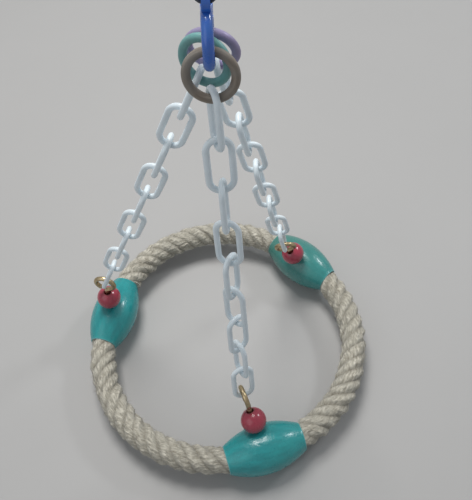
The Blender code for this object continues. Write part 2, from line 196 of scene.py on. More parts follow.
# unevenness of a sprayed, dipped or moulded skin, with faint smears from handling
def makeSkin():
    group, start, end = newGroup(
        "handledSkin", {"Peel Scale": 900.0, "Smear Scale": 140.0, "Gloss": 0.22, "Smear": 0.16},
        ["Height", "Roughness", "Smears"])
    coords = addNode(group, "ShaderNodeTexCoord")
    peel = addNode(group, "ShaderNodeTexNoise", {
        "Vector": coords.outputs["Object"], "Scale": start.outputs["Peel Scale"], "Detail": 2.0})
    smear = addNode(group, "ShaderNodeTexNoise", {
        "Vector": coords.outputs["Object"], "Scale": start.outputs["Smear Scale"], "Detail": 6.0,
        "Roughness": 0.65})
    spread = addNode(group, "ShaderNodeMapRange", {
        "Value": smear.outputs["Fac"], "From Min": 0.38, "From Max": 0.68})
    smears = spread.outputs["Result"]
    rough = compute(group, "MULTIPLY_ADD", smears, start.outputs["Smear"], start.outputs["Gloss"])
    feed(group, peel.outputs["Fac"], end.inputs["Height"])
    feed(group, rough, end.inputs["Roughness"])
    feed(group, smears, end.inputs["Smears"])
    return group


streaks = makeStreaks()
skin = makeSkin()


def newMaterial(name, **constants):
    material = bpy.data.materials.new(name)
    material.use_nodes = True
    tree = material.node_tree
    shader = tree.nodes["Principled BSDF"]
    for key, value in constants.items():
        shader.inputs[key.replace("_", " ")].default_value = value
    return material, tree, shader


def mixColours(tree, factor, first, second):
    inputs = {"Factor": factor}
    for index, colour in ((6, first), (7, second)):    # the mix node's two colour sockets
        inputs[index] = colour if isSocket(colour) else (*colour, 1.0)
    return addNode(tree, "ShaderNodeMix", inputs, data_type="RGBA").outputs[2]


def bumpFrom(tree, shader, height, strength, distance):
    bump = addNode(tree, "ShaderNodeBump", {"Strength": strength, "Distance": distance, "Height": height})
    feed(tree, bump.outputs["Normal"], shader.inputs["Normal"])


def attributeMask(tree, name):
    return addNode(tree, "ShaderNodeAttribute", attribute_name=name).outputs["Fac"]


paint = {"contrast": 2.2, "smear": 0.18, "patchShare": 0.45, "grainRelief": 0.6, "bump": 0.0002}
tealLook = {
    "deep": (0.004, 0.190, 0.216), "light": (0.015, 0.350, 0.370), "tint": (0.030, 0.350, 0.332),
    # the cast colour is painted shade with a greenish painted reflection, laid over part of a bead
    "shadeCast": (0.066, 0.205, 0.165), "rim": (0.16, 0.45, 0.48),
    "grainAcross": 22.0, "grainAlong": 110.0, "gloss": 0.20, "coat": 0.25, "relief": 0.55,
}
redLook = {
    "deep": (0.290, 0.018, 0.045), "light": (0.420, 0.032, 0.070), "tint": (0.360, 0.044, 0.074),
    "rim": (0.20, 0.03, 0.04),
    "grainAcross": 12.0, "grainAlong": 160.0, "gloss": 0.18, "coat": 0.5, "relief": 0.15,
}


# gloss paint over turned wood: grain shows through, the colour changes at a rim, and the cast mask lays painted
# shade over part of a bead
def paintOnWood(name, look):
    material, tree, shader = newMaterial(
        name, Specular_IOR_Level=0.5, Coat_Weight=look["coat"], Coat_Roughness=0.08)
    grain = useGroup(tree, streaks, {
        "Across": look["grainAcross"], "Along": look["grainAlong"], "Contrast": paint["contrast"]})
    film = useGroup(tree, skin, {"Gloss": look["gloss"], "Smear": paint["smear"]})
    colour = mixColours(tree, grain.outputs["Streak"], look["deep"], look["light"])
    patches = compute(tree, "MULTIPLY", grain.outputs["Patch"], paint["patchShare"])
    colour = mixColours(tree, patches, colour, look["tint"])
    # the cast mask paints shade and a greenish reflection along the bead; the rim mask changes the colour at a rim
    for mask in ("shadeCast", "rim"):
        if mask in look:
            colour = mixColours(tree, attributeMask(tree, mask), colour, look[mask])
    feed(tree, colour, shader.inputs["Base Color"])
    feed(tree, film.outputs["Roughness"], shader.inputs["Roughness"])
    relief = compute(
        tree, "MULTIPLY_ADD", grain.outputs["Streak"], paint["grainRelief"], film.outputs["Height"])
    bumpFrom(tree, shader, relief, look["relief"], paint["bump"])
    return material


tealPaint = paintOnWood("tealPaint", tealLook)
redPaint = paintOnWood("redPaint", redLook)


ropeLook = {
    "straw": (0.222, 0.190, 0.134), "pale": (0.875, 0.825, 0.705), "grey": (0.505, 0.486, 0.415),
    # painted shade: the groove colour darkens the grooves between strands, where shade falls
    "groove": (0.200, 0.180, 0.140), "grooveShare": 0.55,
    "yarn": {"Across": 4.0, "Along": 120.0, "Contrast": 2.6},
    "hair": {"Across": 11.0, "Along": 300.0, "Contrast": 4.2},
    "yarnLean": 150.0,    # strand widths that a yarn crosses in a metre
    "relief": 1.0, "hairRelief": 0.55, "bump": 0.0004, "looseSpots": 300.0,
}


def ropeStreaks(tree, kind):
    values = ropeLook[kind]
    return useGroup(tree, streaks, {**values, "Lean": values["Across"] * ropeLook["yarnLean"]})


def fibreMaterial():
    material, tree, shader = newMaterial(
        "ropeFibre", Roughness=0.88, Specular_IOR_Level=0.25, Sheen_Weight=0.25, Sheen_Roughness=0.6)
    yarn = ropeStreaks(tree, "yarn")
    hair = ropeStreaks(tree, "hair")
    colour = mixColours(tree, hair.outputs["Streak"], ropeLook["straw"], ropeLook["pale"])
    colour = mixColours(tree, yarn.outputs["Patch"], colour, ropeLook["grey"])
    # painted shade in the grooves between the strands
    shade = compute(tree, "MULTIPLY", attributeMask(tree, "groove"), ropeLook["grooveShare"])
    colour = mixColours(tree, shade, colour, ropeLook["groove"])
    feed(tree, colour, shader.inputs["Base Color"])
    relief = compute(
        tree, "MULTIPLY_ADD", hair.outputs["Streak"], ropeLook["hairRelief"], yarn.outputs["Streak"])
    bumpFrom(tree, shader, relief, ropeLook["relief"], ropeLook["bump"])
    return material


def looseFibreMaterial():
    material, tree, shader = newMaterial(
        "looseFibre", Roughness=0.8, Specular_IOR_Level=0.3, Sheen_Weight=0.2)
    shade = useGroup(tree, skin, {"Smear Scale": ropeLook["looseSpots"]})
    colour = mixColours(tree, shade.outputs["Smears"], ropeLook["straw"], ropeLook["pale"])
    feed(tree, colour, shader.inputs["Base Color"])
    return material


ropeFibre = fibreMaterial()
looseFibre = looseFibreMaterial()


# a skin whose smears carry a second colour and dull the gloss
def smearedSkin(tree, shader, values, colour, worn, relief, depth):
    film = useGroup(tree, skin, values)
    feed(tree, mixColours(tree, film.outputs["Smears"], colour, worn), shader.inputs["Base Color"])
    feed(tree, film.outputs["Roughness"], shader.inputs["Roughness"])
    bumpFrom(tree, shader, film.outputs["Height"], relief, depth)


plastic = {"peel": 700.0, "smear": 0.2, "relief": 0.10, "bump": 0.0002, "glowDepth": 0.0008}
whiteLook = {
    "colour": (0.770, 0.845, 0.890), "worn": (0.700, 0.775, 0.820), "gloss": 0.28, "cloud": 120.0, "glow": 0.2,
}
tealRingLook = {
    "colour": (0.155, 0.395, 0.380), "worn": (0.150, 0.310, 0.305), "gloss": 0.3, "cloud": 150.0, "glow": 0.08,
}
lilacRingLook = {
    "colour": (0.335, 0.290, 0.480), "worn": (0.260, 0.225, 0.360), "gloss": 0.3, "cloud": 150.0, "glow": 0.08,
}


# moulded plastic: faint clouding in the colour, smears in the gloss
def mouldedPlastic(name, look):
    material, tree, shader = newMaterial(
        name, Specular_IOR_Level=0.5, Subsurface_Weight=look["glow"], Subsurface_Radius=(0.9, 1.0, 1.0),
        Subsurface_Scale=plastic["glowDepth"])
    values = {
        "Peel Scale": plastic["peel"], "Smear Scale": look["cloud"], "Gloss": look["gloss"],
        "Smear": plastic["smear"],
    }
    smearedSkin(tree, shader, values, look["colour"], look["worn"], plastic["relief"], plastic["bump"])
    return material


whitePlastic = mouldedPlastic("whitePlastic", whiteLook)
tealRingPlastic = mouldedPlastic("tealRingPlastic", tealRingLook)
lilacRingPlastic = mouldedPlastic("lilacRingPlastic", lilacRingLook)


woodLook = {
    "dark": (0.135, 0.105, 0.080), "light": (0.300, 0.250, 0.200), "grey": (0.240, 0.220, 0.195),
    "grain": {"Across": 7.0, "Along": 55.0, "Contrast": 2.8}, "film": {"Gloss": 0.42, "Smear": 0.25},
    "relief": 0.3, "bump": 0.0002,
}


def bareWoodMaterial():
    material, tree, shader = newMaterial("bareWood", Specular_IOR_Level=0.4)
    grain = useGroup(tree, streaks, woodLook["grain"])
    film = useGroup(tree, skin, woodLook["film"])
    colour = mixColours(tree, grain.outputs["Streak"], woodLook["dark"], woodLook["light"])
    colour = mixColours(tree, film.outputs["Smears"], colour, woodLook["grey"])
    feed(tree, colour, shader.inputs["Base Color"])
    feed(tree, film.outputs["Roughness"], shader.inputs["Roughness"])
    bumpFrom(tree, shader, grain.outputs["Streak"], woodLook["relief"], woodLook["bump"])
    return material


bareWood = bareWoodMaterial()


wire = {"peel": 1400.0, "relief": 0.12, "bump": 0.0001}
brassLook = {
    "bright": (0.600, 0.480, 0.290), "tarnish": (0.270, 0.215, 0.140),
    "gloss": 0.24, "dull": 0.22, "spots": 260.0, "metal": 1.0, "coat": 0.0,
}
enamelLook = {
    "bright": (0.016, 0.115, 0.520), "tarnish": (0.026, 0.125, 0.440),
    "gloss": 0.22, "dull": 0.16, "spots": 200.0, "metal": 0.0, "coat": 0.6,
}
darkWireLook = {
    "bright": (0.130, 0.140, 0.170), "tarnish": (0.060, 0.065, 0.085),
    "gloss": 0.3, "dull": 0.25, "spots": 320.0, "metal": 1.0, "coat": 0.0,
}
springLook = {
    "bright": (0.560, 0.570, 0.580), "tarnish": (0.330, 0.330, 0.330),
    "gloss": 0.2, "dull": 0.2, "spots": 320.0, "metal": 1.0, "coat": 0.0,
}


# metals, bare or enamelled: tarnish changes the colour and dulls the shine
def wireMetal(name, look):
    material, tree, shader = newMaterial(
        name, Metallic=look["metal"], Coat_Weight=look["coat"], Coat_Roughness=0.1)
    values = {
        "Peel Scale": wire["peel"], "Smear Scale": look["spots"], "Gloss": look["gloss"], "Smear": look["dull"],
    }
    smearedSkin(tree, shader, values, look["bright"], look["tarnish"], wire["relief"], wire["bump"])
    return material


brassWire = wireMetal("brassWire", brassLook)
blueEnamel = wireMetal("blueEnamel", enamelLook)
darkWire = wireMetal("darkWire", darkWireLook)
springWire = wireMetal("springWire", springLook)
print("materials made:", len(bpy.data.materials))


# mesh helpers

def placeAxes(xAxis, zAxis, origin):
    zAxis = zAxis.normalized()
    xAxis = (xAxis - xAxis.dot(zAxis) * zAxis).normalized()
    matrix = Matrix((xAxis, zAxis.cross(xAxis), zAxis)).transposed().to_4x4()
    matrix.translation = origin
    return matrix


def finishMesh(mesh, sharp=50):
    shape = bmesh.new()
    shape.from_mesh(mesh)
    bmesh.ops.recalc_face_normals(shape, faces=shape.faces)
    shape.to_mesh(mesh)
    shape.free()
    mesh.polygons.foreach_set("use_smooth", [True] * len(mesh.polygons))
    mesh.set_sharp_from_angle(angle=math.radians(sharp))
    mesh.update()


# a skin over rows of points: each row is closed round, and the rows close on themselves or get end caps
def gridMesh(name, grid, closedAlong, alongUv, aroundUv, masks=None):
    rows, columns = grid.shape[:2]
    faces = []
    uvs = []
    for row in range(rows if closedAlong else rows - 1):
        here = row * columns
        after = (row + 1) % rows * columns
        near, far = alongUv[row], alongUv[row + 1]
        for column in range(columns):
            side = (column + 1) % columns
            faces.append((here + column, here + side, after + side, after + column))
            low, high = aroundUv[column]
            uvs += [(low, near), (high, near), (high, far), (low, far)]
    if not closedAlong:
        faces.append(tuple(reversed(range(columns))))
        faces.append(tuple((rows - 1) * columns + column for column in range(columns)))
        uvs += [(0.5, alongUv[0])] * columns + [(0.5, alongUv[rows - 1])] * columns
    mesh = bpy.data.meshes.new(name)
    mesh.from_pydata([tuple(point) for point in grid.reshape(-1, 3)], [], faces)
    layer = mesh.uv_layers.new(name="pieceUv")
    layer.data.foreach_set("uv", np.array(uvs, np.float32).ravel())
    for label, values in (masks or {}).items():
        attribute = mesh.attributes.new(label, "FLOAT", "POINT")
        attribute.data.foreach_set("value", np.array(values, np.float32).ravel())
    finishMesh(mesh)
    return mesh


def evenUv(count):
    return [(step / count, (step + 1) / count) for step in range(count)]


def addPiece(name, mesh, material, body, matrix=None, stands=()):
    piece = bpy.data.objects.new(name, mesh)
    bpy.context.scene.collection.objects.link(piece)
    if matrix is not None:
        piece.matrix_world = matrix
    if not mesh.materials:
        mesh.materials.append(material)
    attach(piece, body)
    if stands:
        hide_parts(*stands)
    return piece


# a wire swept along a flat path in the local XZ plane, its section given as (out, aside) pairs
def sweepFlat(name, path, section, closed):
    points = np.array([[point[0], 0.0, point[1]] for point in path])
    before = np.roll(points, 1, 0)
    after = np.roll(points, -1, 0)
    if not closed:
        before[0] = points[0]
        after[-1] = points[-1]
    along = after - before
    along /= np.linalg.norm(along, axis=1)[:, None]
    aside = np.array([0.0, 1.0, 0.0])
    out = np.cross(along, aside)
    grid = np.array([
        [point + part[0] * out[row] + part[1] * aside for part in section(row)]
        for row, point in enumerate(points)])
    lengths = np.concatenate([[0.0], np.cumsum(np.linalg.norm(after - points, axis=1))])
    return gridMesh(name, grid, closed, lengths, evenUv(grid.shape[1]))


def roundSection(radius, sides):
    return [onCircle(radius, math.tau * step / sides) for step in range(sides)]


# a turned shape about local Z from a closed profile of (radius, height)
def turnedMesh(name, profile, steps, masks):
    grid = np.array([[(*spot, height) for spot in roundSection(radius, steps)] for radius, height in profile])
    lengths = [0.0]
    for first, second in zip(profile, profile[1:] + profile[:1]):
        lengths.append(lengths[-1] + math.dist(first, second))
    spread = {label: np.repeat(np.array(values), steps) for label, values in masks.items()}
    return gridMesh(name, grid, True, lengths, evenUv(steps), spread)


# thinnest and longest direction of a CAD node, from its own points or those within reach of a centre
def cadAxes(node, centre=None, reach=None):
    points = np.array([vertex.co for vertex in nodes[node].data.vertices])
    points = points - (points.mean(0) if centre is None else np.array(centre))
    if reach:
        points = points[np.linalg.norm(points, axis=1) < reach]
    directions = np.linalg.eigh(points.T @ points)[1]
    return Vector(directions[:, 0]), Vector(directions[:, 2])


# barrel beads

barrelBead = {
    "length": 0.0344, "middle": 0.0213, "end": 0.0124, "bore": 0.0111, "edge": 0.0004, "sag": 0.00058,
    "ringRadius": 0.0573, "steps": 72, "rows": 28, "edgeSteps": 5, "rimWidth": 0.0003, "rimFade": 1.3,
    "shadeCast": {"front": (0.0, 0.15), "left": (0.0, 0.10), "right": (0.40, 0.90)},    # painted shade and a greenish painted reflection at its two ends, strongest on the right bead
}


def barrelMesh(shadeCast):
    half = barrelBead["length"] / 2
    edge = barrelBead["edge"]
    straight = half - edge
    rise = (barrelBead["middle"] - barrelBead["end"]) / 2
    bore = barrelBead["bore"] / 2
    shoulder = barrelBead["end"] / 2 - edge
    outside = []
    for row in range(barrelBead["rows"] + 1):
        share = 1 - 2 * row / barrelBead["rows"]
        outside.append((barrelBead["middle"] / 2 - rise * share ** 2, share * straight))
    top = [(bore, half - edge / 2), (shoulder, half)]
    for step in range(1, barrelBead["edgeSteps"]):
        angle = math.pi / 2 * step / barrelBead["edgeSteps"]
        top.append((shoulder + edge * math.sin(angle), straight + edge * math.cos(angle)))
    bottom = [(radius, -height) for radius, height in reversed(top)]
    profile = top + outside + bottom
    rim = []
    shadeTinge = []
    for radius, height in profile:
        depth = (half - abs(height)) / barrelBead["rimWidth"]
        rim.append(max(0.0, min(1.0, barrelBead["rimFade"] - depth)))
        # painted shade: the share of the cast colour runs from one end of the bead to the other
        share = height / barrelBead["length"] + 0.5
        shadeTinge.append(shadeCast[0] + (shadeCast[1] - shadeCast[0]) * share)
    return turnedMesh("barrelBead", profile, barrelBead["steps"], {"rim": rim, "shadeCast": shadeTinge})


for name, station in stations.items():
    station["foot"] = ringCentre + barrelBead["ringRadius"] * station["outward"]
    station["bead"] = station["foot"] - barrelBead["sag"] * station["outward"]
    mesh = barrelMesh(barrelBead["shadeCast"][name])
    matrix = placeAxes(station["screw"], station["tangent"], station["bead"])
    node = "barrel_bead_" + name
    addPiece("barrelBead." + name, mesh, tealPaint, "pyramid", matrix, [node])
print("barrel beads done")


# red beads

redBead = {
    "diameter": 0.0109, "bore": 0.0029, "lip": 0.00035, "rimReach": 1.1, "steps": 48, "rows": 22,
    "mouth": ((0.0, 0.0005), (0.0001, 0.00015)),    # wider than the bore, and deeper than the lip
}


def redBeadMesh():
    radius = redBead["diameter"] / 2
    bore = redBead["bore"] / 2
    edge = math.acos((bore + redBead["lip"]) / radius)
    top = radius * math.sin(edge)
    mouth = [(bore + wider, top - deeper) for wider, deeper in redBead["mouth"]]
    outside = [onCircle(radius, edge - 2 * edge * row / redBead["rows"]) for row in range(redBead["rows"] + 1)]
    profile = mouth + outside + [(wide, -height) for wide, height in reversed(mouth)]
    rimEdge = bore + redBead["lip"] * redBead["rimReach"]
    rim = [1.0 if wide < rimEdge else 0.0 for wide, height in profile]
    return turnedMesh("redBead", profile, redBead["steps"], {"rim": rim})


for name, station in stations.items():
    matrix = placeAxes(station["tangent"], station["screw"], station["red"])
    node = "red_bead_" + name
    addPiece("redBead." + name, redBeadMesh(), redPaint, node, matrix, [node])
print("red beads done")


# screw eyes: one wire that runs up from the bead and round into an eye, its end just short of the shank

screwEye = {
    "diameter": 0.0105, "wire": 0.0021, "aboveBead": 0.0288, "down": 0.0205, "neck": 0.0019, "pull": 0.0034,
    "turnStart": -58, "turnEnd": 244, "shankSteps": 8, "bendSteps": 9, "eyeSteps": 52, "sides": 18,
    "endShares": (0.55, 0.86),    # the cut end is slightly rounded
    "reach": 0.0056,    # CAD points this near to the eye's centre give its plane
}


def screwEyeMesh():
    radius = (screwEye["diameter"] - screwEye["wire"]) / 2
    neck = -radius - screwEye["neck"]
    down = screwEye["down"]
    pull = screwEye["pull"]
    steps = screwEye["shankSteps"]
    path = [(0.0, -down + (neck + down) * step / steps) for step in range(steps)]
    first = math.radians(screwEye["turnStart"])
    meet = onCircle(radius, first)
    heading = (-math.sin(first), math.cos(first))
    for step in range(screwEye["bendSteps"]):    # the bend leaves the shank upwards and joins the eye smoothly
        share = step / screwEye["bendSteps"]
        fromNeck = 2 * share ** 3 - 3 * share ** 2 + 1
        leaving = share ** 3 - 2 * share ** 2 + share
        toEye = 3 * share ** 2 - 2 * share ** 3
        joining = share ** 3 - share ** 2
        aside = toEye * meet[0] + joining * pull * heading[0]
        height = fromNeck * neck + leaving * pull + toEye * meet[1] + joining * pull * heading[1]
        path.append((aside, height))
    sweep = math.radians(screwEye["turnEnd"] - screwEye["turnStart"])
    for step in range(screwEye["eyeSteps"] + 1):
        path.append(onCircle(radius, first + sweep * step / screwEye["eyeSteps"]))
    count = len(path)

    def section(row):
        left = count - 1 - row
        share = screwEye["endShares"][left] if left < len(screwEye["endShares"]) else 1.0
        return roundSection(screwEye["wire"] / 2 * share, screwEye["sides"])

    return sweepFlat("screwEye", path, section, False)


for name, station in stations.items():
    eyeCentre = station["foot"] + screwEye["aboveBead"] * station["screw"]
    node = "screw_eye_" + name
    facing = cadAxes(node, eyeCentre, screwEye["reach"])[0]
    matrix = placeAxes(facing.cross(station["screw"]), station["screw"], eyeCentre)
    addPiece("screwEye." + name, screwEyeMesh(), brassWire, "pyramid", matrix, [node])
print("screw eyes done")


# chain links, with the fine parting line of their mould

chainLink = {
    "inner": 0.0154, "width": 0.0094, "wire": 0.0020, "partingLine": 0.00006,
    "bendSteps": 14, "sides": 20, "sideShare": 0.33, "count": 9,
}


def chainLinkMesh():
    bend = (chainLink["width"] - chainLink["wire"]) / 2
    straight = (chainLink["inner"] + chainLink["wire"]) / 2 - bend
    path = []
    for end in (1, -1):
        for step in range(chainLink["bendSteps"] + 1):
            angle = math.pi * step / chainLink["bendSteps"] + (0 if end > 0 else math.pi)
            aside, height = onCircle(bend, angle)
            path.append((aside, end * straight + height))
        path.append((-end * bend, end * straight * chainLink["sideShare"]))
        path.append((-end * bend, -end * straight * chainLink["sideShare"]))
    sides = chainLink["sides"]
    section = []
    for step in range(sides):
        radius = chainLink["wire"] / 2
        if step % (sides // 2) == 0:
            radius += chainLink["partingLine"]
        section.append(onCircle(radius, math.tau * step / sides))
    return sweepFlat("chainLink", path, lambda row: section, True)


linkMesh = chainLinkMesh()
for name in stations:
    for number in range(1, chainLink["count"] + 1):
        node = "link_" + name + "_" + str(number)
        thin, longest = cadAxes(node)
        matrix = placeAxes(longest.cross(thin), longest, Vector(joints[node + "_twist"]["pos_m"]))
        label = "chainLink." + name + "." + str(number)
        addPiece(label, linkMesh, whitePlastic, node, matrix, [node])
print("chains done")


# small rings at the top, and the wire ring

topRing = {"diameter": 0.0156, "section": 0.00252, "steps": 72, "sides": 22}
wireRing = {"diameter": 0.0064, "wire": 0.0012, "steps": 48, "sides": 16, "cut": 3.0, "cutAt": 62}


def ringPath(radius, steps, first=0.0, sweep=360.0):
    count = steps if sweep == 360.0 else steps + 1
    return [onCircle(radius, math.radians(first + sweep * step / steps)) for step in range(count)]


topRingFinish = {
    "natural_ring": (bareWood, "natural_wood"),
    "teal_ring": (tealRingPlastic, "pale_teal_plastic"),
    "lilac_ring": (lilacRingPlastic, "lilac_plastic"),
}
topRingSection = roundSection(topRing["section"] / 2, topRing["sides"])
for name, station in stations.items():
    node = station["topRing"]
    thin, longest = cadAxes(node)
    path = ringPath((topRing["diameter"] - topRing["section"]) / 2, topRing["steps"])
    mesh = sweepFlat("topRing." + name, path, lambda row: topRingSection, True)
    material, slot = topRingFinish[node]
    matrix = placeAxes(longest, thin.cross(longest), Vector(joints[node + "_turn"]["pos_m"]))
    addPiece("topRing." + name, mesh, material, node, matrix, [node])

thin = cadAxes("wire_ring")[0]
low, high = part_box("wire_ring")
wireRadius = (wireRing["diameter"] - wireRing["wire"]) / 2
path = ringPath(wireRadius, wireRing["steps"], wireRing["cutAt"], 360.0 - wireRing["cut"])
wireRingSection = roundSection(wireRing["wire"] / 2, wireRing["sides"])
mesh = sweepFlat("wireRing", path, lambda row: wireRingSection, False)
matrix = placeAxes(thin.cross(up), up, (low + high) / 2)
addPiece("wireRing", mesh, darkWire, "hanger", matrix, ["wire_ring"])
print("top rings and wire ring done")


# clasp: smooth-shaded copies of the CAD shapes

clasp = {"weld": 0.000002, "flat": 0.6, "sharp": 38, "bevelSteps": 2, "bevelFrom": 50, "pinBevel": 0.0001}


def smoothCopy(node, name, material, body, bevel):
    mesh = nodes[node].data.copy()
    mesh.materials.clear()
    shape = bmesh.new()
    shape.from_mesh(mesh)
    bmesh.ops.remove_doubles(shape, verts=shape.verts, dist=clasp["weld"])
    bmesh.ops.dissolve_limit(
        shape, angle_limit=math.radians(clasp["flat"]), verts=shape.verts, edges=shape.edges)
    shape.to_mesh(mesh)
    shape.free()
    finishMesh(mesh, sharp=clasp["sharp"])
    piece = addPiece(name, mesh, material, body, None, [node])
    if bevel:
        soft = piece.modifiers.new("softEdges", "BEVEL")
        soft.width = bevel
        soft.segments = clasp["bevelSteps"]
        soft.limit_method = "ANGLE"
        soft.angle_limit = math.radians(clasp["bevelFrom"])


smoothCopy("clasp_body", "claspBody", blueEnamel, "clasp", 0)
smoothCopy("clasp_gate", "claspGate", blueEnamel, "gate", 0)
smoothCopy("gate_pin", "gatePin", springWire, "clasp", clasp["pinBevel"])
smoothCopy("gate_spring", "gateSpring", springWire, "clasp", 0)
print("clasp done")


# rope ring: four strands laid to the right, the rope's ends meeting in the left bead

rope = {
    "radius": 0.0573, "straight": 0.0120, "endGap": 0.0006, "diameter": 0.0120,
    # grooveFall sets how the painted shade in the grooves fades towards a crest
    "step": 0.0005, "straightSteps": 8, "arcSteps": 160,
    "beads": ("left", "front", "right"),    # in the order that the rope meets them
    # gap in a bead's bore, and how the rope swells beside it
    "fit": 0.00005, "mouth": 0.0172, "flare": 1.6, "easing": 0.0025,
    "strands": 4, "lay": 0.0256, "columns": 30, "strandDepth": 0.00088, "roundness": 1.1, "grooveFall": 1.3,
    # unevenness of the skin: each rate is in noise cells to the metre
    "wander": 0.24, "wanderRate": 130,
    "swelling": 0.00055, "swellRate": 120, "swellPlace": (7.3, 2.0),
    "yarns": 21, "yarnDepth": 0.00026, "yarnShift": 2.1, "yarnWaver": 2.5, "waverRate": 170,
    "lump": 0.00048, "lumpRate": 330, "fuzz": 0.00030, "fuzzRate": 1000,
}
upwards = np.array(up)


def ropeLine():
    half = rope["straight"] / 2
    ringRadius = rope["radius"]
    arcRadius = ringRadius - half / math.tan(math.pi / 3)
    short = rope["straightSteps"]
    points = []
    for corner in range(3):
        angle = math.radians(stations["left"]["azimuth"] + 120 * corner)
        out = outwardAt(angle)
        side = up.cross(out)
        points += [ringRadius * out + half * side * share / short for share in range(short)]
        middle = (ringRadius - arcRadius) * out + half * side
        for share in range(rope["arcSteps"] + 1):
            turn = math.tau / 3 * share / rope["arcSteps"]
            points.append(middle + arcRadius * (math.cos(turn) * out + math.sin(turn) * side))
        out = outwardAt(angle + math.tau / 3)
        side = up.cross(out)
        points += [ringRadius * out - half * side * (1 - share / short) for share in range(1, short)]
    points.append(points[0])
    line = np.array([tuple(point) for point in points])
    gone = np.concatenate([[0.0], np.cumsum(np.linalg.norm(np.diff(line, axis=0), axis=1))])
    length = gone[-1] - rope["endGap"]
    count = int(round(length / rope["step"])) + 1
    where = rope["endGap"] / 2 + np.linspace(0, length, count)
    spread = np.stack([np.interp(where, gone, line[:, axis]) for axis in range(3)], 1)
    along = np.gradient(spread, axis=0)
    along /= np.linalg.norm(along, axis=1)[:, None]
    out = np.cross(along, upwards)
    return spread + np.array(ringCentre), along, out, where - where[0]


# the nearest bead, and how far along the rope its middle lies
def nearestBead(gone, total):
    third = (total + rope["endGap"]) / 3
    count = (gone + rope["endGap"] / 2) / third
    return stations[rope["beads"][round(count) % 3]], abs(count - round(count)) * third


# how far the rope may swell from its middle: up to the bead's bore, and freely a little beyond the mouth
def roomInBead(offset, axis, direction, reach):
    beyond = max(0.0, abs((offset + reach * direction) @ axis) - rope["mouth"])
    bore = barrelBead["bore"] / 2 - rope["fit"] + rope["flare"] * beyond
    offset = offset - offset @ axis * axis
    direction = direction - direction @ axis * axis
    spread = direction @ direction
    lean = offset @ direction
    room = (math.sqrt(lean * lean - spread * (offset @ offset - bore * bore)) - lean) / spread
    return room, min(1.0, beyond / rope["easing"])


# lumps, yarns and fuzz on the rope's skin at one spot of a strand
def unevenness(spot, strand, high, angle, gone):
    place, seed = rope["swellPlace"]
    swell = rope["swelling"] * high * noise.noise(Vector((strand * place, gone * rope["swellRate"], seed)))
    waver = rope["yarnWaver"] * noise.noise(spot * rope["waverRate"])
    yarn = rope["yarnDepth"] * high * math.cos(rope["yarns"] * angle + rope["yarnShift"] * strand + waver)
    lump = rope["lump"] * noise.noise(spot * rope["lumpRate"])
    fuzz = rope["fuzz"] * noise.noise(spot * rope["fuzzRate"])
    return swell + yarn + (lump + fuzz) - rope["fuzz"]


def makeRope():
    points, along, out, gone = ropeLine()
    columns = rope["columns"]
    total = rope["strands"] * columns
    # height of the lay across one strand, 1 on its crest and 0 in the groove
    heights = [math.sin(math.pi * column / columns) ** rope["roundness"] for column in range(columns)]
    grid = np.zeros((len(points), total, 3))
    groove = np.zeros((len(points), total))
    for row in range(len(points)):
        turn = math.tau * gone[row] / rope["lay"]
        bead, distance = nearestBead(gone[row], gone[-1])
        offset = points[row] - np.array(bead["bead"])
        axis = np.array(bead["tangent"])
        for column in range(total):
            high = heights[column % columns]
            flat = math.tau * column / total
            sway = noise.noise(Vector((*onCircle(1, flat), gone[row] * rope["wanderRate"])))
            angle = flat + turn + rope["wander"] * sway
            direction = math.cos(angle) * upwards + math.sin(angle) * out[row]
            radius = rope["diameter"] / 2 - rope["strandDepth"] * (1 - high)
            free = 1.0
            if distance < rope["mouth"] + 2 * rope["easing"]:
                room, free = roomInBead(offset, axis, direction, radius)
                radius = min(radius, room)
            spot = Vector(points[row] + radius * direction)
            radius += free * unevenness(spot, column // columns, high, angle, gone[row])
            grid[row, column] = points[row] + radius * direction
            # painted shade: strongest deep in the groove, fading towards the crest
            groove[row, column] = (1 - high) ** rope["grooveFall"]
    aroundUv = evenUv(columns) * rope["strands"]
    mesh = gridMesh("ropeLay", grid, False, list(gone) + [gone[-1]], aroundUv, {"groove": groove})
    addPiece("ropeLay", mesh, ropeFibre, "pyramid", None, ["rope_ring"])
    return points, along, out, gone


# loose fibres: thin three-sided hairs that stand off the rope, lean and curl
looseHair = {
    "count": 2200, "seed": 7, "radius": 0.000050, "thickness": 1.05, "taper": 0.7, "rings": 5, "sides": 3,
    "lowest": -0.35,    # none on the rope's underside
    "root": 0.43, "shortest": 0.0010, "longest": 0.0032,
    "rise": 0.75, "lean": 0.8, "curl": 0.6, "droop": 0.35,
    "leanAlong": 1.0, "leanAside": 0.7, "curlAside": 0.9, "curlAlong": 0.6,
}


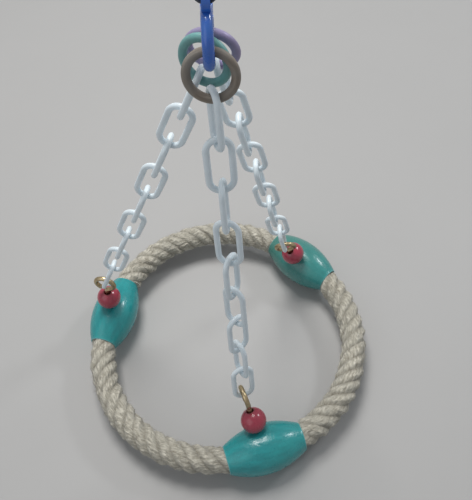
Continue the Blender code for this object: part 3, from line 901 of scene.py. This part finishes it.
def makeLooseFibres(points, along, out, gone):
    random = np.random.RandomState(looseHair["seed"])
    rings = looseHair["rings"]
    sides = looseHair["sides"]
    vertices = []
    faces = []
    made = 0

    def either(most):
        return random.uniform(-most, most)

    while made < looseHair["count"]:
        row = random.randint(2, len(points) - 2)
        angle = random.uniform(0, math.tau)
        distance = nearestBead(gone[row], gone[-1])[1]
        if distance < rope["mouth"] + rope["easing"] or math.cos(angle) < looseHair["lowest"]:
            continue
        outward = math.cos(angle) * upwards + math.sin(angle) * out[row]
        sideways = np.cross(along[row], outward)
        start = points[row] + outward * rope["diameter"] * looseHair["root"]
        length = random.uniform(looseHair["shortest"], looseHair["longest"])
        lean = either(looseHair["leanAlong"]) * along[row] + either(looseHair["leanAside"]) * sideways
        curl = either(looseHair["curlAside"]) * sideways + either(looseHair["curlAlong"]) * along[row]
        curl = curl - looseHair["droop"] * outward
        heading = looseHair["rise"] * outward + looseHair["lean"] * lean
        tip = start + length * (heading + looseHair["curl"] * curl)
        if tip[2] < cadLow.z:
            continue
        base = len(vertices)
        for ring in range(rings):
            reach = ring / (rings - 1)
            spot = start + length * (reach * heading + reach * reach * curl * looseHair["curl"])
            thick = looseHair["radius"] * (looseHair["thickness"] - looseHair["taper"] * reach)
            for corner in range(sides):
                turn = math.tau * corner / sides
                vertices.append(spot + thick * (math.cos(turn) * along[row] + math.sin(turn) * sideways))
        for ring in range(rings - 1):
            here = base + ring * sides
            for corner in range(sides):
                side = (corner + 1) % sides
                faces.append((here + corner, here + side, here + sides + side, here + sides + corner))
        last = base + (rings - 1) * sides
        faces.append(tuple(reversed(range(base, base + sides))))
        faces.append(tuple(range(last, last + sides)))
        made += 1
    mesh = bpy.data.meshes.new("looseFibres")
    mesh.from_pydata([tuple(point) for point in vertices], [], faces)
    mesh.uv_layers.new(name="pieceUv")
    finishMesh(mesh, sharp=180)
    addPiece("looseFibres", mesh, looseFibre, "pyramid")


ropeParts = makeRope()
makeLooseFibres(*ropeParts)
print("rope done:", len(ropeParts[0]), "rows,", round(float(ropeParts[3][-1]) * 1000, 1), "mm")


# floor and light

stage = {
    "floor": (0.430, 0.425, 0.420), "dim": 0.96, "smears": 3.0, "size": 4.0, "below": 0.0004,
    "backdrop": (0.470, 0.475, 0.480), "fadeFrom": 0.26, "fadeTo": 0.95,    # the floor fades into it
    "ambient": (0.252, 0.266, 0.280),
}


def makeFloor():
    mesh = bpy.data.meshes.new("paleFloor")
    half = stage["size"] / 2
    corners = [(-half, -half, 0), (half, -half, 0), (half, half, 0), (-half, half, 0)]
    mesh.from_pydata(corners, [], [(0, 1, 2, 3)])
    material, tree, shader = newMaterial("paleFloor", Roughness=0.55, Specular_IOR_Level=0.35)
    film = useGroup(tree, skin, {"Smear Scale": stage["smears"]})
    dim = tuple(value * stage["dim"] for value in stage["floor"])
    feed(tree, mixColours(tree, film.outputs["Smears"], stage["floor"], dim), shader.inputs["Base Color"])
    place = addNode(tree, "ShaderNodeTexCoord")
    distance = addNode(tree, "ShaderNodeVectorMath", {0: place.outputs["Object"]}, operation="LENGTH")
    span = {"Value": distance.outputs["Value"], "From Min": stage["fadeFrom"], "From Max": stage["fadeTo"]}
    fade = addNode(tree, "ShaderNodeMapRange", span, interpolation_type="SMOOTHSTEP")
    pale = addNode(tree, "ShaderNodeEmission", {"Color": (*stage["backdrop"], 1.0)})
    blend = addNode(tree, "ShaderNodeMixShader", {
        "Fac": fade.outputs["Result"], 1: shader.outputs["BSDF"], 2: pale.outputs["Emission"]})
    feed(tree, blend.outputs["Shader"], tree.nodes["Material Output"].inputs["Surface"])
    mesh.materials.append(material)
    floor = bpy.data.objects.new("paleFloor", mesh)
    floor.location = (ringCentre.x, ringCentre.y, cadLow.z - stage["below"])
    bpy.context.scene.collection.objects.link(floor)


lamps = {
    "ceilingLamp": {
        "towards": (-0.10, 0.36, 0.92), "away": 0.9, "size": (0.34, 0.34), "power": 5.6,
        "colour": (1.0, 0.985, 0.96),
    },
    "windowLamp": {
        "towards": (0.66, 0.38, 0.65), "away": 0.9, "size": (0.14, 0.09), "power": 1.3,
        "colour": (0.94, 0.975, 1.0),
    },
    "leftFill": {
        "towards": (-0.62, -0.48, 0.62), "away": 1.0, "size": (0.9, 0.9), "power": 1.5,
        "colour": (0.97, 0.985, 1.0),
    },
}


def makeLamps():
    for name, lamp in lamps.items():
        data = bpy.data.lights.new(name, "AREA")
        data.shape = "RECTANGLE"
        data.size, data.size_y = lamp["size"]
        data.energy = lamp["power"]
        data.color = lamp["colour"]
        light = bpy.data.objects.new(name, data)
        towards = Vector(lamp["towards"]).normalized()
        light.location = ringCentre + towards * lamp["away"]
        light.rotation_mode = "QUATERNION"
        light.rotation_quaternion = towards.to_track_quat("Z", "Y")
        bpy.context.scene.collection.objects.link(light)


# the camera and reflections see the backdrop, and the rest is lit by the dimmer room
def makeWorld():
    world = bpy.data.worlds.new("softRoom")
    world.use_nodes = True
    tree = world.node_tree
    paths = addNode(tree, "ShaderNodeLightPath")
    seen = paths.outputs["Is Camera Ray"]
    for ray in ("Is Glossy Ray", "Is Transmission Ray"):
        seen = compute(tree, "MAXIMUM", seen, paths.outputs[ray])
    background = tree.nodes["Background"]
    background.inputs["Strength"].default_value = 1.0
    feed(tree, mixColours(tree, seen, stage["ambient"], stage["backdrop"]), background.inputs["Color"])
    bpy.context.scene.world = world


makeFloor()
makeLamps()
makeWorld()
bpy.context.scene.view_settings.view_transform = "Standard"
print("floor and light done")
